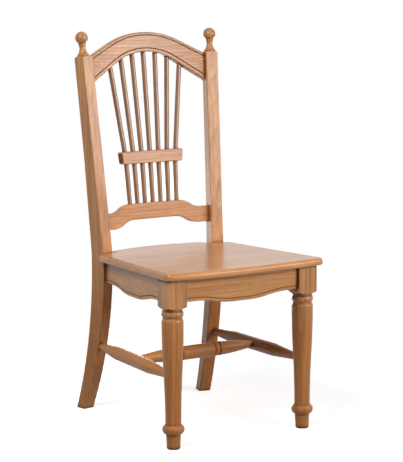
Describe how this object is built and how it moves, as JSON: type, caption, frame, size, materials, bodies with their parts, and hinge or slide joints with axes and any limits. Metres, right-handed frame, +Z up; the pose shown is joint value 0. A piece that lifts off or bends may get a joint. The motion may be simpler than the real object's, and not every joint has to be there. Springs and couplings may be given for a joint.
{
  "type": "dining chair",
  "caption": "Wooden dining side chair: arched crest rail, ball finials, a sheaf of spindles gathered by a tie bar, solid seat, turned front legs and an H stretcher.",
  "frame": {"origin": "on the floor, under the middle of the chair's bounding box", "axes": "+Z up, the chair faces -Y, +X is to the right of a person who looks at its front"},
  "size_m": [0.4718, 0.5815, 1.0337],
  "materials": {
    "frame_wood": "satin clear coat on honey-coloured hardwood",
    "spindle_wood": "satin clear coat on honey-coloured hardwood",
    "seat_wood": "satin clear coat on honey-coloured hardwood, smoother than the frame",
    "block_wood": "bare sawn wood",
    "screw_steel": "zinc plated"
  },
  "bodies": {
    "root": {"rear_post_left": "frame_wood", "rear_post_right": "frame_wood", "finial_left": "frame_wood", "finial_right": "frame_wood", "crest_rail": "frame_wood", "lower_back_rail": "frame_wood", "tie_bar": "frame_wood", "front_apron": "frame_wood", "side_apron_left": "frame_wood", "side_apron_right": "frame_wood", "rear_apron": "frame_wood", "front_leg_left": "frame_wood", "front_leg_right": "frame_wood", "side_stretcher_left": "frame_wood", "side_stretcher_right": "frame_wood", "center_stretcher": "frame_wood", "upper_spindle_1": "spindle_wood", "upper_spindle_2": "spindle_wood", "upper_spindle_3": "spindle_wood", "upper_spindle_4": "spindle_wood", "upper_spindle_5": "spindle_wood", "upper_spindle_6": "spindle_wood", "upper_spindle_7": "spindle_wood", "lower_spindle_1": "spindle_wood", "lower_spindle_2": "spindle_wood", "lower_spindle_3": "spindle_wood", "lower_spindle_4": "spindle_wood", "lower_spindle_5": "spindle_wood", "lower_spindle_6": "spindle_wood", "lower_spindle_7": "spindle_wood", "seat": "seat_wood", "corner_block_front_left": "block_wood", "corner_block_front_right": "block_wood", "corner_block_rear_left": "block_wood", "corner_block_rear_right": "block_wood", "block_screws": "screw_steel", "seat_screws": "screw_steel"}
  },
  "joints": []
}
